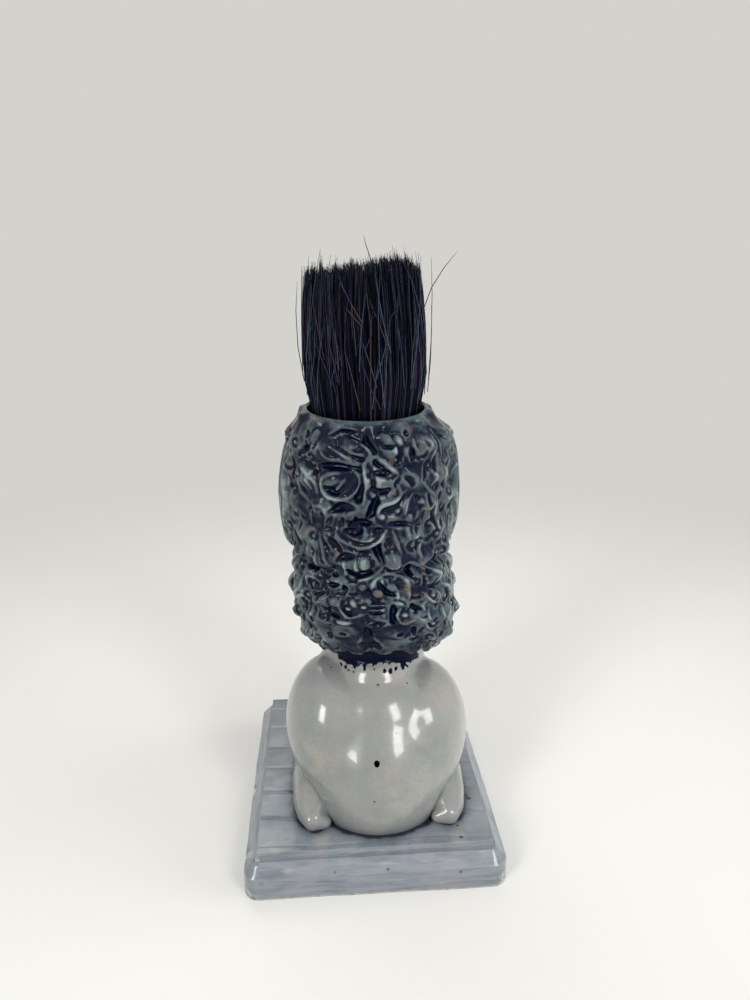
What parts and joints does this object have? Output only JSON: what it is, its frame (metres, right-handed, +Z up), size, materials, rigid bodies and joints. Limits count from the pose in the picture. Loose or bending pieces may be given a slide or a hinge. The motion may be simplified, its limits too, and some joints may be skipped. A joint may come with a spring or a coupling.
{
  "type": "pen holder",
  "caption": "Glazed ceramic pen holder: a sitting poodle on a stepped plinth, with a round lift-out brush in its crown whose bristles hold pens upright.",
  "frame": {"origin": "middle of the plinth's underside, on the surface that it stands on", "axes": "+Z up through the brush, -Y the way the face looks, +X to the figure's left"},
  "size_m": [0.064, 0.073, 0.1473],
  "materials": {
    "glaze_blue": "glossy blue-grey glaze, worn to the clay along the edges",
    "glaze_grey": "glossy warm grey glaze with small dark specks",
    "glaze_black": "glossy black glaze, breaking to grey-green on the ridges",
    "plug_wood": "turned, unvarnished",
    "pitch": "set black pitch",
    "binding": "waxed thread",
    "hair": "stiff black hair with a blue sheen"
  },
  "bodies": {
    "figure": {"plinth": "glaze_blue", "body": "glaze_grey", "left_foreleg": "glaze_grey", "right_foreleg": "glaze_grey", "left_hind_foot": "glaze_grey", "right_hind_foot": "glaze_grey", "mane": "glaze_black", "head": "glaze_black", "left_ear": "glaze_black", "right_ear": "glaze_black", "muzzle": "glaze_grey", "nose": "glaze_black", "left_eye": "glaze_black", "right_eye": "glaze_black"},
    "brush": {"brush_plug": "plug_wood", "pitch_fill": "pitch", "binding_cord": "binding", "bristle_tuft": "hair"}
  },
  "joints": [
    {"name": "brush_lift", "type": "slide", "parent": "figure", "child": "brush", "axis": [0, 0, 1], "range_m": [0, 0.02]}
  ]
}
